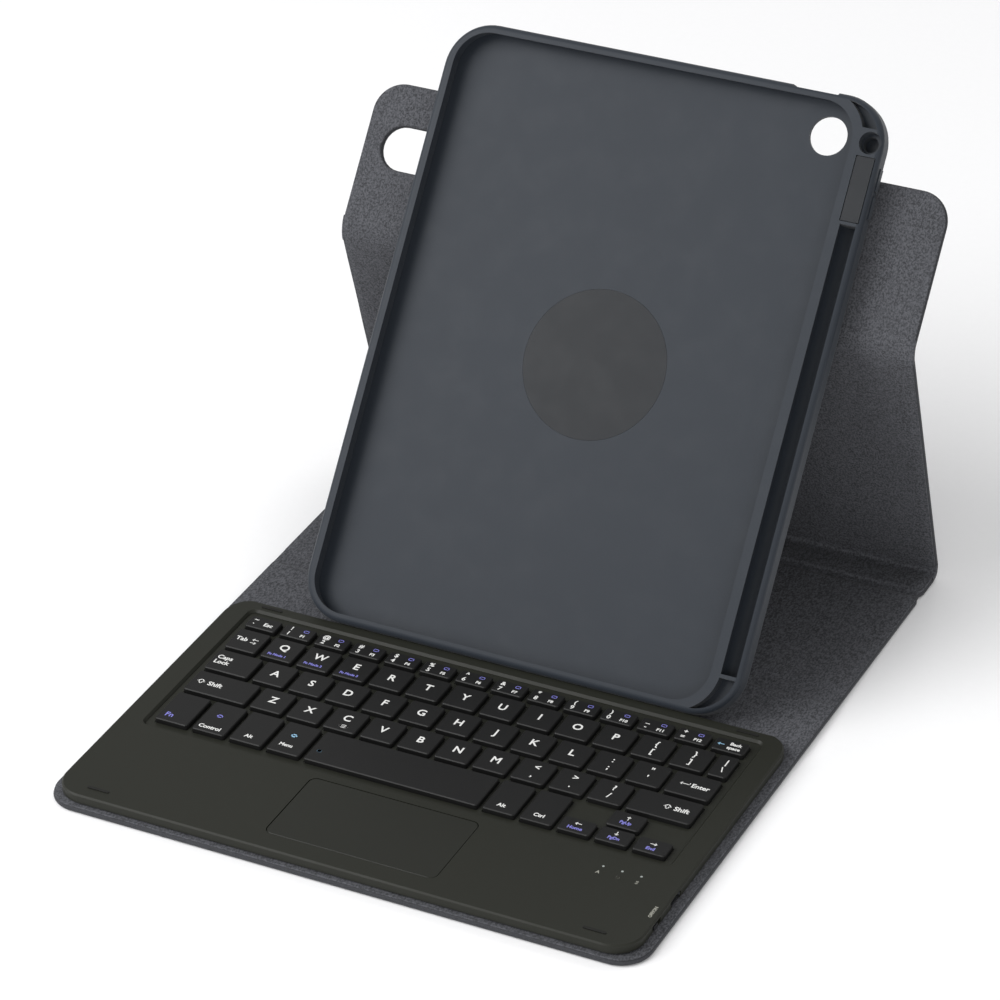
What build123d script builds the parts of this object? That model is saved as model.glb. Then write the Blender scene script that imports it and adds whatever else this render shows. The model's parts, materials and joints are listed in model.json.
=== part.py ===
from build123d import *
import os
from math import atan2, cos, degrees, hypot, radians, sin, tan

# Folding tablet case: a folio cover whose rear part folds into a stand, a tray that turns on a hub,
# and a thin keyboard with a touchpad that lies on the front cover.
# Millimetres. +Z up, the user sits at -Y. Origin: middle of the base's underside.

# ---- folio cover ----
cover_width = 256.0
front_cover_depth = 184.5      # from the front edge to the first crease
crease_width = 10.5            # unstiffened strip behind the front cover
rear_panel_depth = 77.0
spine_width = 19.5
upper_panel_height = 64.6
skin_thickness = 0.6
board_thickness = 2.0
lining_thickness = 0.6
cover_radius = 13.0
board_inset = 1.5              # skin wrapped round the board's edge
fold_gap = 2.3                 # from a fold axis to the stiff panels beside it
fold_strip_radius = 1.5        # the rolled skin that fills a fold
fold_strip_inset = 2.0
crease_depth = 0.25
crease_line = 0.8

# ---- stand ----
tray_lean = 38.6               # degrees back from upright
rest_gap = 0.3                 # tray edge above the lining
overhang_gap = 0.2867          # keyboard deck below the tray's lower edge
hub_to_fold = 32.5             # hub axis up to the middle fold, along the panel
panel_gap = 1.5                # tray back to the upper panel's lining
tongue_gap = 1.5
camera_window_height = 18.6
camera_window_length = 37.0
camera_window_edge = 8.9       # from the cover's left edge
camera_window_rise = 37.6      # above the middle fold

# ---- tablet that the tray holds ----
tablet_width = 179.5
tablet_height = 248.6
tablet_depth = 7.0
tablet_radius = 16.0
tablet_gap = 0.3

# ---- tray ----
side_wall = 2.6
end_wall = 2.2
lip_depth = 0.9
lip_overlap = 1.5
floor_thickness = 1.9
stylus_diameter = 8.9
stylus_gap = 0.1
stylus_lip = 1.15              # the channel's mouth is narrower than the stylus on each side
stylus_lip_depth = 0.8
stylus_channel_rise = 18.3     # channel's lower end above the tray's lower edge
stylus_channel_length = 184.0
channel_side_wall = 1.5        # between tablet and channel
trough_wall = 1.1              # outside the channel
corner_wall = 2.2              # outside the hollows in the corners
corner_inner_wall = 2.6
corner_hollow_depth = 4.6
hollow_reach = 9.6             # of the upper corner's hollow, down the tray
tray_shift = 3.6               # tablet centre left of the hub axis
tray_front_round = 2.4
tray_back_round = 3.0
tray_radius = 19.5
partition_wall = 1.5
button_cover_length = 26.4
button_cover_width = 7.6
button_cover_thickness = 1.0
button_cover_gap = 0.3
pocket_hole_radius = 4.6
pocket_step_radius = 3.2
pocket_hole_shift = 0.2        # away from the tablet
volume_button_length = 9.2
volume_button_height = 3.0
volume_button_gap = 0.2
volume_button_proud = 0.5
top_notch_length = 20.0
top_notch_depth = 1.1
tray_camera_radius = 8.0
port_width = 14.0
port_height = 5.0
speaker_width = 22.0
speaker_height = 2.6

# ---- turning hub ----
hub_neck_radius = 30.0
hub_radial_gap = 0.1
hub_ring_width = 11.9
hub_ring_thickness = 1.2
hub_flange_width = 5.0         # beyond the neck
hub_flange_clearance = 0.5
tongue_margin = 8.0            # tongue of the upper panel beyond the ring that it carries
hub_flange_thickness = 1.2
hub_axial_gap = 0.1
rivet_count = 8
rivet_radius = 1.1
rivet_inset = 3.0              # from the ring's outer edge
screw_count = 4
screw_radius = 1.0
screw_circle = 20.0
screw_head_radius = 2.0
screw_head_height = 0.6
cover_disc_radius = 31.0
cover_disc_thickness = 0.5
disc_pocket_depth = 1.1

# ---- keyboard ----
keyboard_side_inset = 3.6
keyboard_front_inset = 1.8
keyboard_depth = 148.4
keyboard_rear_bevel = 1.5      # lets the tray's leaning lower edge pass over the rear edge
keyboard_height = 4.2
keyboard_radius = 12.0
keyboard_float = 0.1           # above the soft lining
bottom_cover_thickness = 0.5
bottom_cover_inset = 0.5
case_wall = 1.6
deck_thickness = 0.8
well_depth = 1.2
web_thickness = 0.5
well_margin_side = 3.2
well_margin_front = 3.5
well_margin_rear = 4.4
key_block_left = -110.6
key_block_right = 111.3
key_front = 56.7               # from the keyboard's front edge to the first row
key_gap = 2.2
key_pitch = 16.48
row_pitch = 16.6
letter_key_depth = 14.2
front_row_depth = 20.0
number_row_depth = 7.8
arrow_front_depth = 8.7        # left, down and right share the front half of the first row
arrow_gap = 1.6
well_bevel = 1.0
well_radius = 2.5
key_rise = 0.9                 # key top above the deck
key_travel = 1.2
key_clearance = 0.25
key_top_thickness = 1.0
key_wall = 0.9
key_height = 2.4
key_corner = 1.0
key_edge = 0.35
plate_thickness = 0.3
membrane_thickness = 0.25
dome_gap = 0.35                # between a dome and the pressed key
dome_base_radius = 2.3
dome_top_radius = 1.5

touchpad_width = 73.0
touchpad_depth = 38.7
touchpad_left = -34.8
touchpad_front = 9.4           # from the keyboard's front edge
touchpad_thickness = 1.1
touchpad_sink = 0.05
touchpad_gap = 0.3
touchpad_radius = 3.0
sensor_thickness = 0.8
sensor_inset = 2.0
click_radius = 3.0
click_gap = 0.55               # below the sensor board

lamp_first = 92.4
lamp_pitch = 7.9
lamp_from_front = 43.1
lamp_radius = 0.5
lamp_flange_radius = 1.0
bumper_length = 9.6
bumper_width = 1.3
bumper_proud = 0.3
bumper_sink = 0.4
bumper_side = 18.0             # from the keyboard's side edge
bumper_edge = 6.3              # from the front edge
bumper_rear_edge = 3.7

port_from_front = 38.7
port_shell_width = 9.0
port_shell_height = 2.8
port_shell_length = 7.6
port_wall = 0.35
port_gap = 0.1
switch_from_front = 21.7
switch_slot_length = 7.0
switch_slot_height = 1.9
switch_travel = 3.0
switch_knob_length = 3.2
switch_knob_height = 1.5
switch_proud = 0.4
switch_body_depth = 3.5
switch_body_length = 10.0

battery_size = (66.0, 36.0, 2.2)
circuit_board_size = (34.0, 1.0)
circuit_board_side_gap = 6.0   # from the touchpad
circuit_board_port_gap = 10.6  # from the case's right wall
magnet_size = (18.0, 4.0, 1.2)
magnet_columns = (-95.0, -58.0, 58.0, 95.0)
magnet_from_front = 4.7
rest_magnet_size = (36.0, 6.0, 1.2)
rest_magnet_pitch = 62.0
fit_gap = 0.1

# ---- places worked out from the sizes above ----
panel_thickness = skin_thickness + board_thickness + lining_thickness
base_depth = front_cover_depth + crease_width + rear_panel_depth
half_width = cover_width / 2
base_front = -base_depth / 2
base_rear = base_depth / 2
axis_height = panel_thickness / 2
strut_axis_y = base_rear + spine_width

keyboard_half = half_width - keyboard_side_inset
keyboard_front = base_front + keyboard_front_inset
keyboard_rear = keyboard_front + keyboard_depth
keyboard_bottom = panel_thickness + keyboard_float
deck_top = keyboard_bottom + keyboard_height

cavity_width = tablet_width + 2 * tablet_gap
cavity_height = tablet_height + 2 * tablet_gap
cavity_radius = tablet_radius + tablet_gap
tray_depth = lip_depth + tablet_depth + tablet_gap + floor_thickness
cavity_floor = -(tray_depth - floor_thickness)
channel_width = stylus_diameter + 2 * stylus_gap
cavity_left = -tray_shift - cavity_width / 2
cavity_right = -tray_shift + cavity_width / 2
channel_left = cavity_right + channel_side_wall
channel_right = channel_left + channel_width
tray_left = cavity_left - side_wall
tray_right = channel_right + trough_wall
tray_half_height = cavity_height / 2 + end_wall

hub_ring_inner = hub_neck_radius + hub_radial_gap
hub_ring_outer = hub_ring_inner + hub_ring_width
hub_flange_radius = hub_neck_radius + hub_flange_width
rivet_circle = hub_ring_outer - rivet_inset
tongue_half_width = hub_ring_outer + tongue_margin

lean = radians(tray_lean)
corner_z = (panel_thickness + rest_gap + tray_back_round
            + (tray_depth - tray_back_round) * sin(lean) - tray_back_round * cos(lean))
corner_y = keyboard_rear - keyboard_rear_bevel - (corner_z - deck_top - overhang_gap) / tan(lean)
hub_point = (0, corner_y + tray_half_height * sin(lean), corner_z + tray_half_height * cos(lean))
front_normal = (0, -cos(lean), sin(lean))
tray_plane = Plane(origin=hub_point, x_dir=(1, 0, 0), z_dir=front_normal)
upper_front = -(tray_depth + panel_gap)
upper_back = upper_front - panel_thickness
fold_point = tray_plane.from_local_coords(Vector(0, hub_to_fold, (upper_front + upper_back) / 2))
strut_length = hypot(fold_point.Y - strut_axis_y, fold_point.Z - axis_height)
strut_up = (fold_point.Y - strut_axis_y, fold_point.Z - axis_height)
strut_angle = degrees(atan2(strut_up[1], strut_up[0]))
strut_plane = Plane(origin=(0, strut_axis_y, axis_height), x_dir=(1, 0, 0),
                    z_dir=(0, -strut_up[1], strut_up[0]))

os.makedirs("parts", exist_ok=True)


def save(name, shape):
    """Write one sub-part."""
    export_step(shape, f"parts/{name}.step")


def block(x0, x1, y0, y1, z0, z1):
    """A box from its lowest to its highest corner."""
    return Pos((x0 + x1) / 2, (y0 + y1) / 2, (z0 + z1) / 2) * Box(x1 - x0, y1 - y0, z1 - z0)


def rounded_block(x0, x1, y0, y1, z0, z1, radius):
    """A box with its four upright edges rounded."""
    face = Pos((x0 + x1) / 2, (y0 + y1) / 2) * RectangleRounded(x1 - x0, y1 - y0, radius)
    return Pos(0, 0, z0) * extrude(face, z1 - z0)


def disc(radius, z0, z1, x=0.0, y=0.0):
    """An upright round pillar."""
    return Pos(x, y, (z0 + z1) / 2) * Cylinder(radius, z1 - z0)


def pill(x0, x1, y, height, z0, z1):
    """A slot with round ends along X."""
    face = Pos((x0 + x1) / 2, y) * SlotOverall(x1 - x0, height)
    return Pos(0, 0, z0) * extrude(face, z1 - z0)


def group(solids):
    """Several separate solids that share one node."""
    return Compound(children=list(solids))


def front_outline(inset, rear_y, z0, z1):
    """The base's outline: round front corners, square where it meets the next fold."""
    x = half_width - inset
    y = base_front + inset
    whole = rounded_block(-x, x, y, rear_y + cover_radius, z0, z1, cover_radius - inset)
    return whole - block(-x, x, rear_y, rear_y + 2 * cover_radius, z0, z1)


# ---------------------------------------------------------------- base and spine
def base_pieces():
    """Outer skin, boards, lining and magnets that lie flat under the keyboard and the stand."""
    board_top = skin_thickness + board_thickness
    crease_y = base_front + front_cover_depth
    rear_board_y = crease_y + crease_width
    end_y = strut_axis_y - fold_gap
    edge = half_width - board_inset

    front_board = front_outline(board_inset, crease_y, skin_thickness, board_top)
    rear_board = block(-edge, edge, rear_board_y, base_rear - fold_gap, skin_thickness, board_top)
    spine_board = block(-edge, edge, base_rear + fold_gap, end_y - board_inset, skin_thickness, board_top)
    skin = front_outline(0, end_y, 0, board_top) - front_board - rear_board - spine_board

    lining = front_outline(0, end_y, board_top, panel_thickness)
    for y in (crease_y, rear_board_y, base_rear - fold_gap, base_rear + fold_gap):
        lining -= block(-half_width, half_width, y - crease_line / 2, y + crease_line / 2,
                        panel_thickness - crease_depth, panel_thickness)

    length, width, height = magnet_size
    magnet_y = keyboard_front + magnet_from_front
    magnets = [block(x - length / 2, x + length / 2, magnet_y - width / 2, magnet_y + width / 2,
                     board_top - height, board_top) for x in magnet_columns]
    length, width, height = rest_magnet_size
    rest_y = corner_y + (tray_depth - tray_back_round) * cos(lean) + tray_back_round * sin(lean)
    rests = [block(x - length / 2, x + length / 2, rest_y - width / 2, rest_y + width / 2,
                   board_top - height, board_top) for x in (-rest_magnet_pitch, 0, rest_magnet_pitch)]
    for magnet in magnets + rests:
        front_board -= magnet

    strip = Pos(0, strut_axis_y, axis_height) * Rot(0, 90, 0) * Cylinder(
        fold_strip_radius, 2 * (half_width - fold_strip_inset))
    save("base_outer_skin", skin)
    save("base_board", front_board)
    save("rear_panel_board", rear_board)
    save("spine_board", spine_board)
    save("base_lining", lining)
    save("cover_magnets", group(magnets))
    save("tray_rest_magnets", group(rests))
    save("strut_fold_strip", strip)


# ---------------------------------------------------------------- strut, the lower back panel
def strut_cut(gap, z0, z1):
    """Room for the upper panel's tongue, in the strut's own frame."""
    centre = strut_length - hub_to_fold
    half = tongue_half_width + gap
    return disc(half, z0, z1, 0, centre) + block(-half, half, centre, strut_length + fold_gap, z0, z1)


def strut_pieces():
    """The panel that props the stand, with a cut-out for the hub tongue."""
    low = -panel_thickness / 2
    board_low = low + skin_thickness
    board_high = board_low + board_thickness
    end = strut_length - fold_gap
    edge = half_width - board_inset
    board = block(-edge, edge, fold_gap + board_inset, end - board_inset, board_low, board_high)
    board -= strut_cut(tongue_gap + board_inset, board_low, board_high)
    skin = block(-half_width, half_width, fold_gap, end, low, board_high)
    skin -= strut_cut(tongue_gap, low, board_high)
    skin -= board
    lining = block(-half_width, half_width, fold_gap, end, board_high, -low)
    lining -= strut_cut(tongue_gap, board_high, -low)

    inner = tongue_half_width + tongue_gap
    outer = half_width - fold_strip_inset
    strips = [Pos(side * (inner + outer) / 2, strut_length, 0) * Rot(0, 90, 0)
              * Cylinder(fold_strip_radius, outer - inner) for side in (-1, 1)]
    save("strut_outer_skin", strut_plane * skin)
    save("strut_board", strut_plane * board)
    save("strut_lining", strut_plane * lining)
    save("middle_fold_strips", strut_plane * group(strips))


# ---------------------------------------------------------------- upper back panel and hub
def upper_outline(inset, z0, z1):
    """Panel above the middle fold with the hub tongue below it, less the camera window."""
    x = half_width - inset
    low = hub_to_fold + fold_gap + inset
    high = hub_to_fold + upper_panel_height - inset
    shape = rounded_block(-x, x, low - cover_radius, high, z0, z1, cover_radius - inset)
    shape -= block(-x, x, low - 2 * cover_radius, low, z0, z1)
    half = tongue_half_width - inset
    shape += block(-half, half, 0, low, z0, z1)
    shape += disc(half, z0, z1)
    window_y = hub_to_fold + camera_window_rise
    window_x = camera_window_edge - half_width
    window = pill(window_x - inset, window_x + camera_window_length + inset, window_y,
                  camera_window_height + 2 * inset, z0, z1)
    return shape - window


def ring_of(radius, count, start=0.0):
    """Places evenly spaced round the hub axis."""
    steps = [radians(start + 360 / count * i) for i in range(count)]
    return [(radius * cos(a), radius * sin(a)) for a in steps]


def upper_pieces():
    """Upper back panel, the fixed hub ring and its rivets."""
    board_back = upper_back + skin_thickness
    board_front = board_back + board_thickness
    recess_depth = hub_axial_gap + hub_flange_thickness + hub_axial_gap
    recess_radius = hub_flange_radius + hub_flange_clearance
    recess = disc(recess_radius, upper_front - recess_depth, upper_front)
    ring_front = upper_front + hub_ring_thickness
    ring = disc(hub_ring_outer, upper_front, ring_front) - disc(hub_ring_inner, upper_front, ring_front)
    rivets = [disc(rivet_radius, board_back, ring_front - 0.2, x, y) + disc(
        rivet_radius * 1.6, board_back, board_back + 0.5, x, y) for x, y in ring_of(rivet_circle, rivet_count)]
    board = upper_outline(board_inset, board_back, board_front) - recess
    lining = upper_outline(0, board_front, upper_front) - recess
    skin = upper_outline(0, upper_back, board_front) - upper_outline(board_inset, board_back, board_front)
    for rivet in rivets:
        ring -= rivet
        board -= rivet
        lining -= rivet
    save("upper_outer_skin", tray_plane * skin)
    save("upper_board", tray_plane * board)
    save("upper_lining", tray_plane * lining)
    save("hub_base_ring", tray_plane * ring)
    save("hub_rivets", tray_plane * group(rivets))


# ---------------------------------------------------------------- tray
def trough_corner(sign):
    """Hollow between the tablet's corner and the tray's outer corner, at the top (1) or bottom (-1)."""
    top = tray_half_height - corner_wall
    floor = -corner_hollow_depth
    hollow = rounded_block(tray_left, tray_right - corner_wall, -top, top, floor, 0, tray_radius - corner_wall)
    keep_y = cavity_height / 2 + corner_inner_wall
    keep = rounded_block(cavity_left, cavity_right + corner_inner_wall, -keep_y, keep_y, floor, 0,
                         cavity_radius + corner_inner_wall)
    limit = top - hollow_reach if sign > 0 else stylus_channel_bottom() * -1 + partition_wall
    low, high = sorted((sign * limit, sign * tray_half_height))
    return (hollow - keep) & block(0, tray_right, low, high, floor, 0)


def stylus_channel_bottom():
    """Lower end of the stylus channel, from the hub axis."""
    return -tray_half_height + stylus_channel_rise


def volume_centres():
    """Places of the two volume buttons along the tray."""
    middle = stylus_channel_bottom() + stylus_channel_length + partition_wall + button_cover_length / 2
    step = volume_button_length / 2 + 1.1
    return middle + step, middle - step


def button_block(y, grow=0.0):
    """A volume button's bar, or the slot it runs in."""
    half = volume_button_length / 2 + grow
    z = -tray_depth / 2 - 0.4
    rise = volume_button_height / 2 + grow
    start = cavity_right + 0.15 - (2 if grow else 0)
    return block(start, tray_right + volume_button_proud + (1 if grow else 0), y - half, y + half,
                 z - rise, z + rise)


def tray_pieces():
    """The soft tray, its turning half of the hub, and the small covers and buttons."""
    shell = rounded_block(tray_left, tray_right, -tray_half_height, tray_half_height,
                          -tray_depth, 0, tray_radius)
    shell = fillet(shell.faces().sort_by(Axis.Z)[0].edges(), tray_back_round)
    shell = fillet(shell.faces().sort_by(Axis.Z)[-1].edges(), tray_front_round)
    half_cavity = cavity_height / 2
    shell -= rounded_block(cavity_left, cavity_right, -half_cavity, half_cavity,
                           cavity_floor, -lip_depth, cavity_radius)
    shell -= rounded_block(cavity_left + lip_overlap, cavity_right - lip_overlap,
                           -half_cavity + lip_overlap, half_cavity - lip_overlap,
                           -lip_depth, 0, cavity_radius - lip_overlap)

    # stylus channel with a half-round floor
    bottom = stylus_channel_bottom()
    top = bottom + stylus_channel_length
    middle = (channel_left + channel_right) / 2
    round_z = cavity_floor + channel_width / 2
    shell -= block(channel_left, channel_right, bottom, top, round_z, -stylus_lip_depth)
    shell -= block(channel_left + stylus_lip, channel_right - stylus_lip, bottom, top, -stylus_lip_depth, 0)
    shell -= Pos(middle, (bottom + top) / 2, round_z) * Rot(90, 0, 0) * Cylinder(channel_width / 2, top - bottom)

    # pocket for the volume buttons, closed by an inset cover
    cover_low = top + partition_wall
    cover_high = cover_low + button_cover_length
    cover_x = middle - button_cover_width / 2
    pocket_x = (channel_left + 0.8, channel_right - 0.8)
    shell -= block(cover_x - button_cover_gap, cover_x + button_cover_width + button_cover_gap,
                   cover_low - button_cover_gap, cover_high + button_cover_gap, -0.2 - button_cover_thickness, 0)
    shell -= block(*pocket_x, cover_low + 1, cover_high - 1, cavity_floor, -0.2 - button_cover_thickness)
    cover = block(cover_x, cover_x + button_cover_width, cover_low, cover_high,
                  -0.2 - button_cover_thickness, -0.2)
    for y in volume_centres():
        shell -= button_block(y, volume_button_gap)

    # round pocket above the cover, stepped inside
    hole_x = middle + pocket_hole_shift
    hole_y = cover_high + pocket_hole_radius + 1.3
    shell -= disc(pocket_hole_radius, -4.2, 0, hole_x, hole_y)
    shell -= disc(pocket_step_radius, cavity_floor, -4.2, hole_x - 0.9, hole_y)
    shell -= trough_corner(1)
    shell -= trough_corner(-1)

    # openings round the edge and in the floor
    notch_x = cavity_right - 22.0
    shell -= block(notch_x - top_notch_length / 2, notch_x + top_notch_length / 2,
                   tray_half_height - top_notch_depth, tray_half_height, -tray_depth, 0)
    button_z = -tray_depth / 2
    shell -= block(notch_x - 8, notch_x + 8, half_cavity - 1, tray_half_height, button_z - 1.6, button_z + 1.6)
    for side in (-1, 1):
        for x in (-tray_shift - 52, -tray_shift + 52):
            if side > 0 and x > 0:
                x -= 18
            shell -= block(x - speaker_width / 2, x + speaker_width / 2,
                           *sorted((side * (half_cavity - 1), side * tray_half_height)),
                           button_z - speaker_height / 2, button_z + speaker_height / 2)
    shell -= block(-tray_shift - port_width / 2, -tray_shift + port_width / 2, -tray_half_height,
                   -half_cavity + 1, button_z - port_height / 2, button_z + port_height / 2)
    shell -= disc(tray_camera_radius, -tray_depth, cavity_floor, cavity_right - 14.5, half_cavity - 14.5)

    # hub: rotor screwed to the floor from inside, hidden by a thin disc
    flange_front = upper_front - hub_axial_gap
    rotor = disc(hub_neck_radius, flange_front, -tray_depth)
    rotor += disc(hub_flange_radius, flange_front - hub_flange_thickness, flange_front)
    disc_floor = cavity_floor - disc_pocket_depth
    shell -= disc(cover_disc_radius + fit_gap, disc_floor, cavity_floor)
    cover_disc = disc(cover_disc_radius, cavity_floor - cover_disc_thickness, cavity_floor)
    screws = [disc(screw_radius, flange_front - 0.8, disc_floor, x, y)
              + disc(screw_head_radius, disc_floor, disc_floor + screw_head_height, x, y)
              for x, y in ring_of(screw_circle, screw_count, 45)]
    for screw in screws:
        shell -= screw
        rotor -= screw
    save("tray_shell", tray_plane * shell)
    save("volume_button_cover", tray_plane * cover)
    save("hub_rotor", tray_plane * rotor)
    save("hub_cover_disc", tray_plane * cover_disc)
    save("hub_screws", tray_plane * group(screws))
    up_y, down_y = volume_centres()
    save("volume_up_button", tray_plane * button_block(up_y))
    save("volume_down_button", tray_plane * button_block(down_y))


# ---------------------------------------------------------------- keys
def key_rows():
    """Every key as name: (left, right, front, rear), row by row from the front."""
    front = keyboard_front + key_front
    span = key_block_right - key_block_left
    keys = {}

    def place(names, x, pitch, y0, y1):
        for name in names:
            keys[name] = (x, x + pitch - key_gap, y0, y1)
            x += pitch
        return x

    # front row: four keys, the space bar, then five narrower columns
    y0, y1 = front, front + front_row_depth
    column = key_pitch + 0.24
    narrow = key_pitch - 0.63
    x = place(["fn", "control", "alt_left", "system"], key_block_left, column, y0, y1)
    right = key_block_right + key_gap - 5 * narrow
    place(["space"], x, right - x, y0, y1)
    x = place(["alt_right", "control_right"], right, narrow, y0, y1)
    place(["arrow_up"], x + narrow, narrow, y0 + arrow_front_depth + arrow_gap, y1)
    place(["arrow_left", "arrow_down", "arrow_right"], x, narrow, y0, y0 + arrow_front_depth)

    # letter rows: a wide key, the letters at one pitch, and a wide key to the right edge
    rows = (("shift_left", 30.1, "z x c v b n m comma period slash", "shift_right"),
            ("caps", 21.9, "a s d f g h j k l semicolon quote", "enter"),
            ("tab", 16.3, "q w e r t y u i o p bracket_open bracket_close", "backslash"))
    y0 = y1 + key_gap + 0.3
    for first, width, letters, last in rows:
        x = place([first], key_block_left, width, y0, y0 + letter_key_depth)
        x = place(letters.split(), x, key_pitch, y0, y0 + letter_key_depth)
        place([last], x, key_block_right + key_gap - x, y0, y0 + letter_key_depth)
        y0 += row_pitch
    numbers = "escape 1 2 3 4 5 6 7 8 9 0 minus equals backspace".split()
    place(numbers, key_block_left, (span + key_gap) / len(numbers), y0, y0 + number_row_depth)
    return keys


def keycap(x0, x1, y0, y1):
    """A hollow cap with a soft upper edge."""
    top = deck_top + key_rise
    cap = rounded_block(x0, x1, y0, y1, top - key_height, top, key_corner)
    cap = chamfer(cap.faces().sort_by(Axis.Z)[-1].edges(), key_edge)
    return cap - block(x0 + key_wall, x1 - key_wall, y0 + key_wall, y1 - key_wall,
                       top - key_height, top - key_top_thickness)


def key_nodes(keys):
    """Node name to the keys it holds: control keys alone, the other keys row by row."""
    shared = {"keys_lower_letters": "z x c v b n m comma period slash",
              "keys_home_letters": "a s d f g h j k l semicolon quote",
              "keys_upper_letters": "q w e r t y u i o p bracket_open bracket_close backslash",
              "keys_number_row": "escape 1 2 3 4 5 6 7 8 9 0 minus equals backspace"}
    nodes = {node: names.split() for node, names in shared.items()}
    taken = {name for names in nodes.values() for name in names}
    nodes.update({f"key_{name}": [name] for name in keys if name not in taken})
    return nodes


# ---------------------------------------------------------------- keyboard
def keyboard_outline(inset, z0, z1):
    """The keyboard's outline with rounded corners."""
    x = keyboard_half - inset
    return rounded_block(-x, x, keyboard_front + inset, keyboard_rear - inset, z0, z1, keyboard_radius - inset)


def keyboard_pieces():
    """Case, key mechanism, electronics, touchpad and switch."""
    keys = key_rows()
    left, right = key_block_left - well_margin_side, key_block_right + well_margin_side
    front = keyboard_front + key_front - well_margin_front
    rear = max(box[3] for box in keys.values()) + well_margin_rear
    floor = keyboard_bottom + bottom_cover_thickness
    web_top = deck_top - well_depth
    web_low = web_top - web_thickness
    deck_low = deck_top - deck_thickness

    frame = keyboard_outline(0, floor, deck_top)
    frame = chamfer(frame.faces().sort_by(Axis.Z)[-1].edges(), 0.6)
    bevel_side = keyboard_rear_bevel * 2 ** 0.5
    frame -= Pos(0, keyboard_rear, deck_top) * Rot(45, 0, 0) * Box(2 * keyboard_half, bevel_side, bevel_side)
    inside = keyboard_outline(case_wall, floor, deck_low)
    inside -= block(left - 1.2, right + 1.2, front - 1.2, keyboard_rear, web_low, deck_low)
    frame -= inside
    frame -= rounded_block(left, right, front, rear, web_top, deck_top, well_radius)
    bevel_face = Pos((left + right) / 2, (front + rear) / 2) * RectangleRounded(
        right - left, rear - front, well_radius)
    frame -= Pos(0, 0, deck_top - well_bevel) * extrude(bevel_face, well_bevel, taper=-45)
    for x0, x1, y0, y1 in keys.values():
        frame -= rounded_block(x0 - key_clearance, x1 + key_clearance, y0 - key_clearance,
                               y1 + key_clearance, web_low, web_top, key_corner)
    cover = keyboard_outline(bottom_cover_inset, keyboard_bottom, floor)

    plate_top = floor + plate_thickness
    membrane_top = plate_top + membrane_thickness
    inner_rear = min(rear, keyboard_rear - case_wall) - fit_gap
    plate = block(left + 1, right - 1, front + 1, inner_rear, floor, plate_top)
    membrane = block(left + 2, right - 2, front + 2, inner_rear - 1, plate_top, membrane_top)
    dome_height = deck_top + key_rise - key_top_thickness - key_travel - dome_gap - membrane_top
    domes = [Pos((x0 + x1) / 2, (y0 + y1) / 2, membrane_top + dome_height / 2)
             * Cone(dome_base_radius, dome_top_radius, dome_height) for x0, x1, y0, y1 in keys.values()]

    # touchpad: a plate hinged at its rear edge over one click switch
    pad_y0 = keyboard_front + touchpad_front
    pad_y1 = pad_y0 + touchpad_depth
    pad_x1 = touchpad_left + touchpad_width
    pad_top = deck_top - touchpad_sink
    pad_low = pad_top - touchpad_thickness
    frame -= rounded_block(touchpad_left - touchpad_gap, pad_x1 + touchpad_gap, pad_y0 - touchpad_gap,
                           pad_y1 + touchpad_gap, deck_low, deck_top, touchpad_radius + touchpad_gap)
    pad = rounded_block(touchpad_left, pad_x1, pad_y0, pad_y1, pad_low, pad_top, touchpad_radius)
    pad = chamfer(pad.faces().sort_by(Axis.Z)[-1].edges(), 0.15)
    sensor = block(touchpad_left + sensor_inset, pad_x1 - sensor_inset, pad_y0 + sensor_inset,
                   pad_y1 - sensor_inset, pad_low - sensor_thickness, pad_low)
    click_y = pad_y0 + sensor_inset + click_radius + 1
    click = disc(click_radius, floor, pad_low - sensor_thickness - click_gap, touchpad_left + touchpad_width / 2, click_y)

    # lamps, bumpers, magnets
    lamp_y = keyboard_front + lamp_from_front
    lamps = []
    for i in range(3):
        x = lamp_first + lamp_pitch * i
        frame -= disc(lamp_radius + 0.05, deck_low, deck_top, x, lamp_y)
        lamps.append(disc(lamp_radius, deck_low - 0.4, deck_top, x, lamp_y)
                     + disc(lamp_flange_radius, deck_low - 0.4, deck_low, x, lamp_y))
    bumpers = []
    for y in (keyboard_front + bumper_edge, keyboard_rear - bumper_rear_edge):
        for x in (-keyboard_half + bumper_side, keyboard_half - bumper_side):
            bumper = pill(x - bumper_length / 2, x + bumper_length / 2, y, bumper_width,
                          deck_top - bumper_sink, deck_top + bumper_proud)
            frame -= bumper
            bumpers.append(bumper)
    length, width, height = magnet_size
    magnet_y = keyboard_front + magnet_from_front
    magnets = [block(x - length / 2, x + length / 2, magnet_y - width / 2, magnet_y + width / 2,
                     floor, floor + height) for x in magnet_columns]

    # battery left of the touchpad, circuit board right of it
    inner_y = keyboard_front + 11.0
    inner_edge = keyboard_half - case_wall
    length, width, height = battery_size
    battery = rounded_block(touchpad_left - 8 - length, touchpad_left - 8, inner_y, inner_y + width,
                            floor, floor + height, 1.5)
    width, height = circuit_board_size
    board = block(pad_x1 + circuit_board_side_gap, inner_edge - circuit_board_port_gap, inner_y,
                  inner_y + width, floor, floor + height)

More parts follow.
